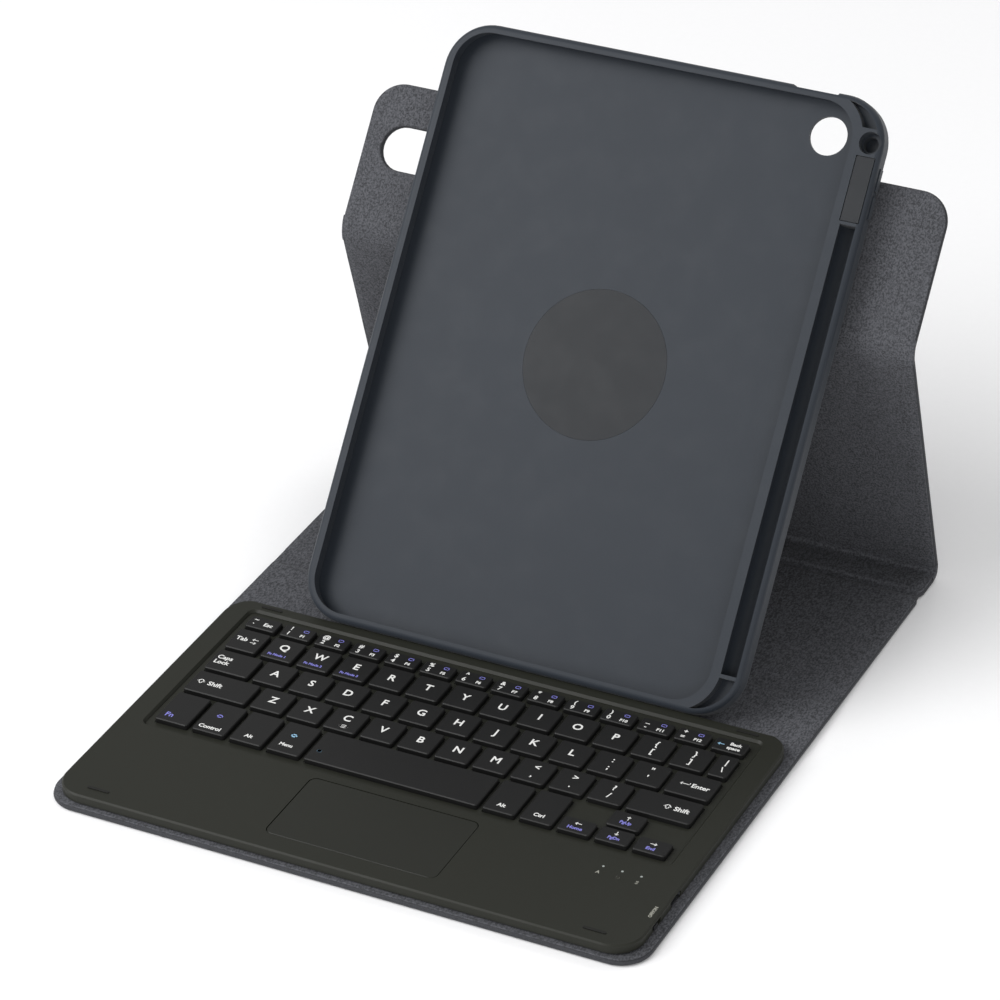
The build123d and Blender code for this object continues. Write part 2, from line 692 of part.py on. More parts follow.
    # charging port and power switch in the right side
    port_y = keyboard_front + port_from_front
    port_z = floor + port_shell_height / 2 + 0.05
    shell_face = RectangleRounded(port_shell_width, port_shell_height, port_shell_height / 2 - 0.01)
    hole_face = RectangleRounded(port_shell_width - 2 * port_wall, port_shell_height - 2 * port_wall,
                                 port_shell_height / 2 - port_wall - 0.01)
    port_plane = Plane(origin=(keyboard_half - 0.4 - port_shell_length, port_y, port_z),
                       x_dir=(0, 1, 0), z_dir=(1, 0, 0))
    port = extrude(port_plane * shell_face, port_shell_length)
    port -= Pos(0.8, 0, 0) * extrude(port_plane * hole_face, port_shell_length)
    port += block(keyboard_half - 0.4 - port_shell_length, keyboard_half - 1.5, port_y - 3.1, port_y + 3.1,
                  port_z - 0.35, port_z + 0.35)
    port_cut = RectangleRounded(port_shell_width + 2 * port_gap, port_shell_height + 2 * port_gap - 0.1,
                                port_shell_height / 2 - 0.01)
    frame -= Pos(3, 0, 0) * extrude(port_plane * port_cut, port_shell_length)
    board -= block(keyboard_half - 0.6 - port_shell_length, keyboard_half, port_y - port_shell_width,
                   port_y + port_shell_width, floor, floor + 4)
    switch_y = keyboard_front + switch_from_front
    switch_z = floor + 1.55
    slot_half = switch_slot_length / 2
    frame -= block(inner_edge - 0.5, keyboard_half + 1, switch_y - slot_half, switch_y + slot_half,
                   switch_z - switch_slot_height / 2, switch_z + switch_slot_height / 2)
    knob_y = switch_y - switch_travel / 2
    knob = block(inner_edge - 0.3, keyboard_half + switch_proud, knob_y - switch_knob_length / 2,
                 knob_y + switch_knob_length / 2, switch_z - switch_knob_height / 2,
                 switch_z + switch_knob_height / 2)
    switch_body = block(inner_edge - 0.4 - switch_body_depth, inner_edge - 0.4,
                        switch_y - switch_body_length / 2, switch_y + switch_body_length / 2,
                        floor, switch_z + 1.1)

    save("keyboard_top_frame", frame)
    save("keyboard_bottom_cover", cover)
    save("key_support_plate", plate)
    save("contact_membrane", membrane)
    save("key_domes", group(domes))
    save("touchpad_plate", pad)
    save("touchpad_sensor", sensor)
    save("touchpad_click_switch", click)
    save("indicator_lenses", group(lamps))
    save("corner_bumpers", group(bumpers))
    save("keyboard_magnets", group(magnets))
    save("battery_cell", battery)
    save("circuit_board", board)
    save("charging_port", port)
    save("power_switch_knob", knob)
    save("power_switch_body", switch_body)
    for node, names in key_nodes(keys).items():
        save(node, group([keycap(*keys[name]) for name in names]) if len(names) > 1
             else keycap(*keys[names[0]]))


base_pieces()
strut_pieces()
upper_pieces()
tray_pieces()
keyboard_pieces()
print("strut axis", 0, round(strut_axis_y, 3), round(axis_height, 3))
print("middle fold", round(fold_point.Y, 3), round(fold_point.Z, 3))
print("hub", round(hub_point[1], 3), round(hub_point[2], 3))
print("strut angle", round(strut_angle, 3), "length", round(strut_length, 2))
print("touchpad hinge y", round(keyboard_front + touchpad_front + touchpad_depth, 3), "z", round(deck_top, 3))
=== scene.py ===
import json
from math import cos, hypot, pi, radians, sin

import bmesh
import bpy
from mathutils import Matrix, Vector, noise


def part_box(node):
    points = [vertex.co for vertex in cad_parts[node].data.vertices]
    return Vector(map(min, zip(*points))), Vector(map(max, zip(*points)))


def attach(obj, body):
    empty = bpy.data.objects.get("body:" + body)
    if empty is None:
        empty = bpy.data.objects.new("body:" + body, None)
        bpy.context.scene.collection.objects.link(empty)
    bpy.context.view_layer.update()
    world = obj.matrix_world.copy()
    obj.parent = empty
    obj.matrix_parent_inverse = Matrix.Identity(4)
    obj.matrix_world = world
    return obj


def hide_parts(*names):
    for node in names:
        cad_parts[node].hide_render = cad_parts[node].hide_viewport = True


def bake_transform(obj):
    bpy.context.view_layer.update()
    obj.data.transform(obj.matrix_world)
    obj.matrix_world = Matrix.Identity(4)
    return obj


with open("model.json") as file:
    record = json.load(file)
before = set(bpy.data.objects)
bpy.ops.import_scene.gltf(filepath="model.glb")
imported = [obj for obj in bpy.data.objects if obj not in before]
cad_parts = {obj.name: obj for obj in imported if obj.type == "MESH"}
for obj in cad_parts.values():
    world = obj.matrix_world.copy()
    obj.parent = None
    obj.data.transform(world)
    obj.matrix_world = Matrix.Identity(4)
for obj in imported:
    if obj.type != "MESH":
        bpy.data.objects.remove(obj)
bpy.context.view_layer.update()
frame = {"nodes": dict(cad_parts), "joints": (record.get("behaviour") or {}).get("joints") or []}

nodes = frame["nodes"]
joints = {joint["name"]: joint for joint in frame["joints"]}
mm = 0.001
print("frame loaded:", len(nodes), "CAD nodes")


# ---- shader helpers ----

class Wire:
    # one output of a node; sums and products on it add Math nodes
    def __init__(self, finish, socket):
        self.finish = finish
        self.socket = socket

    def math(self, operation, a, b):
        return self.finish.add("Math", {"operation": operation}, [a, b])

    def __add__(self, other):
        return self.math("ADD", self, other)

    def __radd__(self, other):
        return self.math("ADD", other, self)

    def __sub__(self, other):
        return self.math("SUBTRACT", self, other)

    def __rsub__(self, other):
        return self.math("SUBTRACT", other, self)

    def __mul__(self, other):
        return self.math("MULTIPLY", self, other)

    def __rmul__(self, other):
        return self.math("MULTIPLY", other, self)

    def __truediv__(self, other):
        return self.math("DIVIDE", self, other)

    def __pow__(self, other):
        return self.math("POWER", self, other)

    def __gt__(self, other):
        return self.math("GREATER_THAN", self, other)


class Finish:
    # one material: a Principled shader and the nodes that feed it
    def __init__(self, name):
        self.material = bpy.data.materials.new(name)
        self.material.use_nodes = True
        self.tree = self.material.node_tree
        self.shader = self.tree.nodes["Principled BSDF"]
        coordinates = self.tree.nodes.new("ShaderNodeTexCoord")
        self.place = Wire(self, coordinates.outputs["Object"])

    def add(self, kind, settings=None, inputs=None, output=0):
        node = self.tree.nodes.new("ShaderNode" + kind)
        for key, value in (settings or {}).items():
            if key == "stops":
                while len(node.color_ramp.elements) < len(value):
                    node.color_ramp.elements.new(0.5)
                for stop, (position, colour) in zip(node.color_ramp.elements, value):
                    stop.position = position
                    stop.color = colour
            else:
                setattr(node, key, value)
        pairs = enumerate(inputs) if isinstance(inputs, (list, tuple)) else (inputs or {}).items()
        for key, value in pairs:
            if isinstance(value, Wire):
                self.tree.links.new(value.socket, node.inputs[key])
            else:
                node.inputs[key].default_value = value
        return Wire(self, node.outputs[output])

    def stretch(self, x, y, z):
        return self.add("Mapping", {}, {"Vector": self.place, "Scale": (x, y, z)})

    def noise(self, scale, detail=3.0, rough=0.5, vector=None):
        return self.add("TexNoise", {}, {"Vector": vector or self.place, "Scale": scale, "Detail": detail,
                                         "Roughness": rough})

    def cells(self, scale, feature="F1", vector=None):
        return self.add("TexVoronoi", {"feature": feature}, {"Vector": vector or self.place, "Scale": scale})

    def ramp(self, value, low, high):
        return self.add("ValToRGB", {"stops": [(low, (0, 0, 0, 1)), (high, (1, 1, 1, 1))]}, [value])

    def blend(self, factor, a, b, mode="MIX"):
        return self.add("Mix", {"data_type": "RGBA", "blend_type": mode},
                        {0: factor, 6: a, 7: b}, 2)

    def done(self, colour, roughness, height=None, depth=0.0001, **fixed):
        for key, value in (("Base Color", colour), ("Roughness", roughness)):
            if isinstance(value, Wire):
                self.tree.links.new(value.socket, self.shader.inputs[key])
            else:
                self.shader.inputs[key].default_value = value
        if height is not None:
            bump = self.add("Bump", {}, {"Height": height, "Distance": depth, "Strength": 1.0})
            self.tree.links.new(bump.socket, self.shader.inputs["Normal"])
        for key, value in fixed.items():
            self.shader.inputs[key.replace("_", " ")].default_value = value
        return self.material


def shade(red, green, blue, gain=1.0):
    # screen colour 0-255 to the shader's linear values
    linear = []
    for value in (red, green, blue):
        part = value / 255
        linear.append(min(1.0, gain * (part / 12.92 if part <= 0.04045 else ((part + 0.055) / 1.055) ** 2.4)))
    return (*linear, 1.0)


# ---- finishes ----

leatherLook = {"colour": (58, 59, 63), "grain": 1500, "grainDepth": 0.00006, "roughness": 0.62}
liningLook = {"colour": (74, 75, 79), "speckle": 1350, "nap": 0.00007, "roughness": 0.86}
caseLook = {"colour": (34, 35, 29), "grain": 5200, "roughness": 0.46}
keyLook = {"colour": (24, 24, 24), "grain": 4200, "roughness": 0.42}
trayLook = {"colour": (42, 47, 54), "grain": 3800, "roughness": 0.5}


def leatherFinish(name, colour, grain, grainDepth, roughness):
    f = Finish(name)
    pebble = f.cells(grain, "SMOOTH_F1")
    fine = f.noise(grain * 3.1, 4)
    patches = f.noise(26, 3)
    speck = f.ramp(f.noise(grain * 1.7, 2), 0.42, 0.62)
    base = f.blend(speck, shade(*colour, gain=0.72), shade(*colour, gain=1.12))
    base = f.blend(f.ramp(patches, 0.35, 0.7) * 0.25, base, shade(*colour, gain=0.8))
    height = pebble * 0.7 + fine * 0.3
    return f.done(base, roughness + (fine - 0.5) * 0.25 + pebble * 0.1, height, grainDepth,
                  Specular_IOR_Level=0.22, Sheen_Weight=0.05, Sheen_Roughness=0.5)


def liningFinish(name, colour, speckle, nap, roughness):
    f = Finish(name)
    fibres = f.noise(speckle, 2, 0.7, f.stretch(1.0, 0.55, 1.0))
    fuzz = f.noise(speckle * 2.3, 3, 0.7)
    drift = f.noise(18, 4, 0.6)
    brushed = f.noise(140, 3, 0.6, f.stretch(1.0, 0.25, 0.25))
    base = f.blend(f.ramp(fibres, 0.38, 0.62), shade(*colour, gain=0.5), shade(*colour, gain=1.55))
    base = f.blend(f.ramp(fuzz, 0.55, 0.75) * 0.5, base, shade(*colour, gain=1.9))
    base = f.blend(f.ramp(drift, 0.3, 0.7) * 0.22, base, shade(*colour, gain=0.6))
    base = f.blend(f.ramp(brushed, 0.4, 0.65) * 0.14, base, shade(*colour, gain=1.4))
    return f.done(base, roughness + (fuzz - 0.5) * 0.15, fibres * 0.6 + fuzz * 0.4, nap,
                  Specular_IOR_Level=0.15, Sheen_Weight=0.12, Sheen_Roughness=0.35)


def plasticFinish(name, colour, grain, roughness, grainDepth=0.00001, wear=0.5, **fixed):
    f = Finish(name)
    spark = f.noise(grain, 2, 0.6)
    cloud = f.noise(34, 3, 0.55)
    smudge = f.ramp(f.noise(75, 4, 0.65), 0.45, 0.75)
    base = f.blend(f.ramp(spark, 0.35, 0.65), shade(*colour, gain=0.9), shade(*colour, gain=1.1))
    base = f.blend(cloud * 0.25, base, shade(*colour, gain=0.82))
    rough = roughness + (spark - 0.5) * 0.1 - smudge * 0.1 * wear
    return f.done(base, rough, spark, grainDepth, **{"Specular_IOR_Level": 0.22, **fixed})


def metalFinish(name, colour, roughness, direction=(1.0, 0.03, 1.0), grain=1800):
    f = Finish(name)
    lines = f.noise(grain, 3, 0.6, f.stretch(*direction))
    stain = f.noise(60, 3)
    base = f.blend(f.ramp(lines, 0.3, 0.7), shade(*colour, gain=0.82), shade(*colour, gain=1.1))
    return f.done(base, roughness + (lines - 0.5) * 0.2 + stain * 0.08, lines, 0.000008, Metallic=1.0)


def boardFinish(name):
    f = Finish(name)
    fibre = f.noise(900, 4, 0.7, f.stretch(1.0, 0.2, 1.0))
    fleck = f.ramp(f.cells(700), 0.0, 0.2)
    base = f.blend(f.ramp(fibre, 0.3, 0.7), shade(120, 112, 98), shade(150, 141, 124))
    base = f.blend((1 - fleck) * 0.35, base, shade(88, 80, 70))
    return f.done(base, 0.88 + fibre * 0.08, fibre, 0.00004)


def circuitFinish(name):
    f = Finish(name)
    tracks = f.cells(420, "DISTANCE_TO_EDGE", f.stretch(1.0, 1.0, 0.02))
    pads = f.cells(260, "F1")
    trace = f.ramp(tracks, 0.04, 0.09)
    base = f.blend(trace, shade(38, 92, 58), shade(14, 52, 30))
    base = f.blend((f.ramp(pads, 0.10, 0.13) * -1 + 1) * 0.8, base, shade(196, 160, 92))
    return f.done(base, 0.35 + trace * 0.1, trace, 0.00001)


def foilFinish(name):
    f = Finish(name)
    creases = f.noise(160, 4, 0.6)
    base = f.blend(creases, shade(150, 152, 156), shade(188, 190, 194))
    return f.done(base, 0.32 + creases * 0.15, creases, 0.0002, Metallic=0.8)


def printFinish(name, colour):
    f = Finish(name)
    thin = f.noise(5200, 2, 0.6)
    base = f.blend(f.ramp(thin, 0.3, 0.62), shade(*colour, gain=0.78), shade(*colour))
    return f.done(base, 0.45 + thin * 0.15, thin, 0.000004)


coverLeather = leatherFinish("coverLeather", **leatherLook)
foldLeather = leatherFinish("foldLeather", (64, 65, 69), 1700, 0.00007, 0.6)
coverLining = liningFinish("coverLining", **liningLook)
caseShell = plasticFinish("caseShell", **caseLook)
caseUnder = plasticFinish("caseUnder", (34, 34, 35), 3600, 0.55)
keyTops = plasticFinish("keyTops", **keyLook, grainDepth=0.000014)
trayRubber = plasticFinish("trayRubber", **trayLook, grainDepth=0.000016, Sheen_Weight=0.12,
                           Sheen_Roughness=0.4)
coverPlate = plasticFinish("coverPlate", (19, 23, 28), 3000, 0.4)
hubPlastic = plasticFinish("hubPlastic", (30, 32, 36), 3200, 0.38)
padSurface = plasticFinish("padSurface", (33, 34, 29), 7000, 0.34, 0.000004)
bumperRubber = plasticFinish("bumperRubber", (28, 28, 26), 4200, 0.6)
switchPlastic = plasticFinish("switchPlastic", (24, 25, 27), 3600, 0.35)
filmMilky = plasticFinish("filmMilky", (196, 198, 190), 900, 0.4, 0.00001)
domeSilicone = plasticFinish("domeSilicone", (208, 208, 204), 1200, 0.5)
lensClear = plasticFinish("lensClear", (150, 156, 152), 2600, 0.2)
steelPlated = metalFinish("steelPlated", (172, 174, 178), 0.3)
plateMetal = metalFinish("plateMetal", (186, 187, 190), 0.34, (1.0, 0.02, 1.0), 1400)
portSteel = metalFinish("portSteel", (128, 130, 134), 0.3, (0.04, 1.0, 1.0), 3000)
greyBoard = boardFinish("greyBoard")
circuitGreen = circuitFinish("circuitGreen")
batteryFoil = foilFinish("batteryFoil")
whitePrint = printFinish("whitePrint", (232, 232, 230))
bluePrint = printFinish("bluePrint", (128, 126, 208))
skyPrint = printFinish("skyPrint", (150, 196, 226))
greyPrint = printFinish("greyPrint", (150, 150, 140))

nodeFinishes = {
    "greyBoard": ["base_board", "rear_panel_board", "spine_board", "strut_board", "upper_board"],
    "steelPlated": ["cover_magnets", "tray_rest_magnets", "keyboard_magnets", "hub_rivets", "hub_screws"],
    "trayRubber": ["tray_shell", "volume_up_button", "volume_down_button"],
    "coverPlate": ["volume_button_cover", "hub_cover_disc"],
    "hubPlastic": ["hub_base_ring", "hub_rotor"],
    "caseShell": ["keyboard_top_frame"],
    "caseUnder": ["keyboard_bottom_cover"],
    "plateMetal": ["key_support_plate"],
    "filmMilky": ["contact_membrane"],
    "domeSilicone": ["key_domes"],
    "circuitGreen": ["circuit_board", "touchpad_sensor"],
    "batteryFoil": ["battery_cell"],
    "padSurface": ["touchpad_plate"],
    "bumperRubber": ["corner_bumpers"],
    "switchPlastic": ["power_switch_knob", "power_switch_body", "touchpad_click_switch"],
    "lensClear": ["indicator_lenses"],
    "portSteel": ["charging_port"],
    "foldLeather": ["strut_fold_strip", "middle_fold_strips"],
    "coverLeather": ["base_outer_skin", "strut_outer_skin", "upper_outer_skin"],
    "coverLining": ["base_lining", "strut_lining", "upper_lining"],
}
keyNodes = [name for name in nodes if name.startswith("keys_") or
            name.startswith("key_") and name not in ("key_support_plate", "key_domes")]
nodeFinishes["keyTops"] = keyNodes
for finishName, names in nodeFinishes.items():
    for name in names:
        nodes[name].data.materials.clear()
        nodes[name].data.materials.append(bpy.data.materials[finishName])
print("finishes:", len(bpy.data.materials))


# ---- shape helpers ----

def arcPoints(x, y, radius, start, end, steps=14):
    turn = [radians(start + (end - start) * i / steps) for i in range(steps + 1)]
    return [(x + radius * cos(a), y + radius * sin(a)) for a in turn]


def slotOutline(x0, x1, y, height):
    r = height / 2
    return arcPoints(x1 - r, y, r, -90, 90) + arcPoints(x0 + r, y, r, 90, 270)


def plateMesh(loops, low, high, edge, rounds=2):
    # flat plate between closed outlines in mm, with rounded edges; returns mesh data
    curve = bpy.data.curves.new("plate", "CURVE")
    curve.dimensions = "2D"
    curve.fill_mode = "BOTH"
    curve.extrude = ((high - low) / 2 - edge) * mm
    curve.bevel_depth = edge * mm
    curve.bevel_resolution = rounds
    curve.offset = -edge * mm
    for loop in loops:
        spline = curve.splines.new("POLY")
        spline.points.add(len(loop) - 1)
        for point, (x, y) in zip(spline.points, loop):
            point.co = (x * mm, y * mm, 0, 1)
        spline.use_cyclic_u = True
    holder = bpy.data.objects.new("plate", curve)
    bpy.context.scene.collection.objects.link(holder)
    graph = bpy.context.evaluated_depsgraph_get()
    mesh = bpy.data.meshes.new_from_object(holder.evaluated_get(graph))
    bpy.data.objects.remove(holder)
    bpy.data.curves.remove(curve)
    mesh.transform(Matrix.Translation((0, 0, (low + high) / 2 * mm)))
    return mesh


def joinMeshes(name, parts, place=Matrix.Identity(4), sharp=40):
    # parts are (mesh, material) pairs; one object in the row frame
    whole = bmesh.new()
    materials = []
    for mesh, material in parts:
        if material not in materials:
            materials.append(material)
        before = len(whole.faces)
        whole.from_mesh(mesh)
        whole.faces.ensure_lookup_table()
        for face in whole.faces[before:]:
            face.material_index = materials.index(material)
            face.smooth = True
        bpy.data.meshes.remove(mesh)
    bmesh.ops.remove_doubles(whole, verts=whole.verts, dist=1e-7)
    bmesh.ops.transform(whole, matrix=place, verts=whole.verts)
    bmesh.ops.recalc_face_normals(whole, faces=whole.faces)
    data = bpy.data.meshes.new(name)
    whole.to_mesh(data)
    whole.free()
    for material in materials:
        data.materials.append(material)
    data.set_sharp_from_angle(angle=radians(sharp))
    piece = bpy.data.objects.new(name, data)
    bpy.context.scene.collection.objects.link(piece)
    return piece


def framePlace(origin, up, front):
    # matrix of a flat panel: X across, Y up the panel, Z out of its front
    up, front = Vector(up).normalized(), Vector(front).normalized()
    across = up.cross(front)
    place = Matrix((across, up, front)).transposed().to_4x4()
    place.translation = Vector(origin)
    return place


# ---- folio cover ----

cover = {"halfWidth": 128.0, "front": -136.0, "rear": 151.0, "radius": 13.0, "thickness": 3.2, "skinTop": 2.15,
         "edgeRound": 0.9, "border": (1.0, 4.0), "borderDrop": 0.42, "valley": (48.5, 59.0),
         "spineFold": (133.7, 138.3),
         "valleyDrop": 0.74, "valleyEdge": 1.9, "dent": 1.0, "plateGap": 4.5, "foldReach": 5.6, "foldDip": 0.3,
         "wave": 0.12, "strutWave": 0.3, "notch": 51.5, "hubDrop": 32.5, "upperTop": 97.1, "tongue": 50.0,
         "windowX": (-119.1, -82.1), "windowY": 70.1, "windowHeight": 18.6}

backAxis = Vector(joints["back_fold"]["pos_m"])
midAxis = Vector(joints["mid_fold"]["pos_m"])
hubAxis = Vector(joints["tray_turn"]["pos_m"])
trayFront = Vector(joints["tray_turn"]["axis"])
strutUp = (midAxis - backAxis).normalized()
upperUp = Vector((1, 0, 0)).cross(trayFront) * -1
strutPlace = framePlace(backAxis, strutUp, Vector((1, 0, 0)).cross(strutUp))
upperPlace = framePlace(hubAxis, upperUp, trayFront)
strutLength = (midAxis - backAxis).length / mm


def baseOutline(inset):
    # round front corners, and a small dent each side where the spine folds
    half, front, rear = cover["halfWidth"] - inset, cover["front"] + inset, cover["rear"] - inset
    r, (low, high), dent = cover["radius"] - inset, cover["spineFold"], half - cover["dent"]
    side = [(half, low - 1.5), (dent, low + 1.2), (dent, high - 1.2), (half, high + 1.5)]
    outline = arcPoints(-half + r, front + r, r, 180, 270) + arcPoints(half - r, front + r, r, 270, 360)
    return outline + side + [(half, rear), (-half, rear)] + [(-x, y) for x, y in reversed(side)]


def strutOutline(inset):
    # rectangle with the deep round notch that clears the hub
    half, low, high = cover["halfWidth"] - inset, cover["plateGap"] + inset, strutLength - cover["plateGap"] - inset
    r = cover["notch"] + inset
    outline = [(-half, low), (half, low), (half, high), (r, high)]
    return outline + arcPoints(0, strutLength - cover["hubDrop"], r, 0, -180, 48) + [(-r, high), (-half, high)]


def upperOutline(inset):
    # panel with round top corners and the hub tongue below
    half, top = cover["halfWidth"] - inset, cover["upperTop"] - inset
    low = cover["hubDrop"] + cover["plateGap"] + inset
    r, tongue = cover["radius"] - inset, cover["tongue"] - inset
    outline = arcPoints(half - r, top - r, r, 0, 90) + arcPoints(-half + r, top - r, r, 90, 180)
    tongueEdge = arcPoints(0, 0, tongue, 180, 360, 48)
    return outline + [(-half, low), (-tongue, low)] + tongueEdge + [(tongue, low), (half, low)]


def windowOutline(grow):
    x0, x1 = cover["windowX"]
    return slotOutline(x0 - grow, x1 + grow, cover["windowY"], cover["windowHeight"] + 2 * grow)


def smooth(value):
    value = min(1.0, max(0.0, value))
    return value * value * (3 - 2 * value)


def borderDrop(x, ahead):
    # the lining sinks near a free border, where no board lies under it; ahead is the way to the free end
    side, r = cover["halfWidth"] - abs(x), cover["radius"]
    distance = r - hypot(r - side, r - ahead) if side < r and ahead < r else min(side, ahead)
    near, far = cover["border"]
    return cover["borderDrop"] * (1 - smooth((distance - near) / (far - near)))


def valleyDrop(y, start, end):
    edge = cover["valleyEdge"]
    return cover["valleyDrop"] * smooth((y - start) / edge + 0.5) * smooth((end - y) / edge + 0.5)


def cutLines(low, high, edges, bands=(), step=12.0):
    # where a panel is cut so that it can bend: evenly, and finer at edges and folds
    lines = [low + step * i for i in range(1, int((high - low) / step) + 1)]
    for edge, way in edges:
        lines += [edge + way * cover["border"][1] * i / 9 for i in range(1, 11)]
    for start, end in bands:
        reach = end - start + 2 * cover["valleyEdge"]
        lines += [start - cover["valleyEdge"] + reach * i / 18 for i in range(19)]
    return lines


def shapedPlate(loops, low, high, edge, xLines, yLines, drop):
    # a plate whose upper face follows drop(x, y), in mm below its flat height
    mesh = plateMesh(loops, low, high, edge)
    grid = bmesh.new()
    grid.from_mesh(mesh)
    bmesh.ops.remove_doubles(grid, verts=grid.verts, dist=1e-7)
    bmesh.ops.dissolve_limit(grid, angle_limit=radians(0.5), verts=grid.verts, edges=grid.edges)
    for normal, lines in (((1, 0, 0), xLines), ((0, 1, 0), yLines)):
        for line in lines:
            bmesh.ops.bisect_plane(grid, geom=grid.verts[:] + grid.edges[:] + grid.faces[:], dist=1e-7,
                                   plane_co=Vector(normal) * line * mm, plane_no=normal)
    for vertex in grid.verts:
        if vertex.co.z > (high - edge) * mm - 1e-7:
            vertex.co.z -= drop(vertex.co.x / mm, vertex.co.y / mm) * mm
    grid.to_mesh(mesh)
    grid.free()
    return mesh


def wave(x, y, seed, size):
    return size * noise.noise(Vector((x * 0.03, y * 0.04, seed)))


def baseDrop(x, y):
    folds = [valleyDrop(y, *cover[name]) for name in ("valley", "spineFold")]
    return max(borderDrop(x, y - cover["front"]), *folds) + wave(x, y, 0.0, cover["wave"])


def strutDrop(x, y):
    calm = smooth(y / 20) * smooth((strutLength - y) / 20)  # no waves at the two folds
    return borderDrop(x, cover["radius"]) + wave(x, y, 5.0, cover["strutWave"]) * calm


def upperDrop(x, y):
    return borderDrop(x, cover["upperTop"] - y) + wave(x, y, 9.0, cover["wave"])


halfWidth, thickness, skinTop = cover["halfWidth"], cover["thickness"], cover["skinTop"]
half, liningLow, liningInset, liningEdge = thickness / 2, skinTop - 0.1, 0.45, 0.3
sideLines = cutLines(-halfWidth, halfWidth, ((halfWidth, -1), (-halfWidth, 1)))
baseSkin = joinMeshes("baseSkin", [(plateMesh([baseOutline(0)], 0, skinTop, cover["edgeRound"]), coverLeather)])
baseLines = cutLines(cover["front"], cover["rear"], ((cover["front"], 1),), (cover["valley"], cover["spineFold"]))
baseLining = joinMeshes("baseLining", [(shapedPlate([baseOutline(liningInset)], liningLow, thickness, liningEdge,
                                                    sideLines, baseLines, baseDrop), coverLining)])
strutSkin = joinMeshes("strutSkin", [(plateMesh([strutOutline(0)], -half, skinTop - half, cover["edgeRound"]),
                                      coverLeather)], strutPlace)
strutLining = joinMeshes("strutLining", [(shapedPlate(
    [strutOutline(liningInset)], liningLow - half, half, liningEdge, sideLines, cutLines(0, strutLength, (), (), 8.0),
    strutDrop), coverLining)], strutPlace)
upperBack = -14.8
upperSkin = joinMeshes("upperSkin", [(plateMesh([upperOutline(0), windowOutline(0)], upperBack,
                                                upperBack + skinTop, cover["edgeRound"]), coverLeather)], upperPlace)
upperLining = joinMeshes("upperLining", [(shapedPlate(
    [upperOutline(liningInset), windowOutline(liningInset)], upperBack + liningLow, upperBack + thickness, liningEdge,
    sideLines, cutLines(-cover["tongue"], cover["upperTop"], ((cover["upperTop"], -1),), (), 8.0), upperDrop),
    coverLining)], upperPlace)


def gridMesh(rows):
    # a surface through rows of points, in mm
    surface = bmesh.new()
    rows = [[surface.verts.new(point * mm) for point in row] for row in rows]
    for a, b in zip(rows, rows[1:]):
        for k in range(len(a) - 1):
            surface.faces.new((a[k], a[k + 1], b[k + 1], b[k]))
    mesh = bpy.data.meshes.new("surface")
    surface.to_mesh(mesh)
    surface.free()
    return mesh


def foldBand(name, x0, x1, start, corner, end, steps=18):
    # the cover bent through a fold: lining on the inner side, leather outside
    fine = [cover["border"][1] * i / 12 for i in range(13)]
    places = [x0 + d for d in fine] + [x1 - d for d in fine]
    places += [x0 + (x1 - x0) * i / 40 for i in range(2, 39)]
    inner, outer = [], []
    for x in sorted(places):
        sideways = 1 - min(1.0, min(x - x0, x1 - x) / cover["edgeRound"])
        roundOff = cover["edgeRound"] * (1 - (1 - sideways ** 2) ** 0.5)
        front, rear = [], []
        for k in range(steps + 1):
            t = k / steps
            middle = (1 - t) ** 2 * start + 2 * t * (1 - t) * corner + t * t * end
            along = (1 - t) * (corner - start) + t * (end - corner)
            out = Vector((0, -along.z, along.y)).normalized()
            bend = sin(pi * t)
            crumple = noise.noise(Vector((x * 0.12, t * 2.0, 3.0))) * 0.16 * bend
            lower = borderDrop(x, cover["radius"]) + cover["foldDip"] * bend * bend + roundOff * 0.35
            front.append(middle + Vector((x, 0, 0)) + out * (half + 0.02 - lower + crumple))
            rear.append(middle + Vector((x, 0, 0)) - out * (half + 0.02 - roundOff + crumple))
        inner.append(front)
        outer.append(rear)
    ends = [gridMesh([[row[k] for row in inner], [row[k] for row in outer]]) for k in (0, steps)]
    outside = gridMesh([inner[0]] + outer + [inner[-1]])
    return joinMeshes(name, [(gridMesh(inner), coverLining), (outside, coverLeather),
                             (ends[0], coverLeather), (ends[1], coverLeather)])


def bentBand(name, x0, x1, axis, before, after):
    reach = cover["foldReach"]
    flat = [Vector((0, place.y, place.z)) / mm for place in (axis, before, after)]
    return foldBand(name, x0, x1, flat[0] + reach * flat[1] * mm, flat[0], flat[0] + reach * flat[2] * mm)


backBand = bentBand("backFoldBand", -halfWidth, halfWidth, backAxis, Vector((0, -1, 0)), strutUp)
midBands = [bentBand(name, x0, x1, midAxis, -strutUp, upperUp)
            for name, x0, x1 in (("midFoldBandLeft", -halfWidth, -cover["notch"]),
                                 ("midFoldBandRight", cover["notch"], halfWidth))]

for piece, body, stands in ((baseSkin, "base", "base_outer_skin"), (baseLining, "base", "base_lining"),
                            (strutSkin, "strut", "strut_outer_skin"), (strutLining, "strut", "strut_lining"),
                            (upperSkin, "upper", "upper_outer_skin"), (upperLining, "upper", "upper_lining")):
    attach(piece, body)
    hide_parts(stands)
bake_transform(backBand)
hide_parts("strut_fold_strip")
for band in midBands:
    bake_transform(band)
    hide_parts("middle_fold_strips")
print("folio cover built")


# ---- key legends ----

legend = {"lift": 0.012, "thick": 0.03, "letter": 5.4,
          "letterPitch": 16.48, "numberPitch": 15.99}


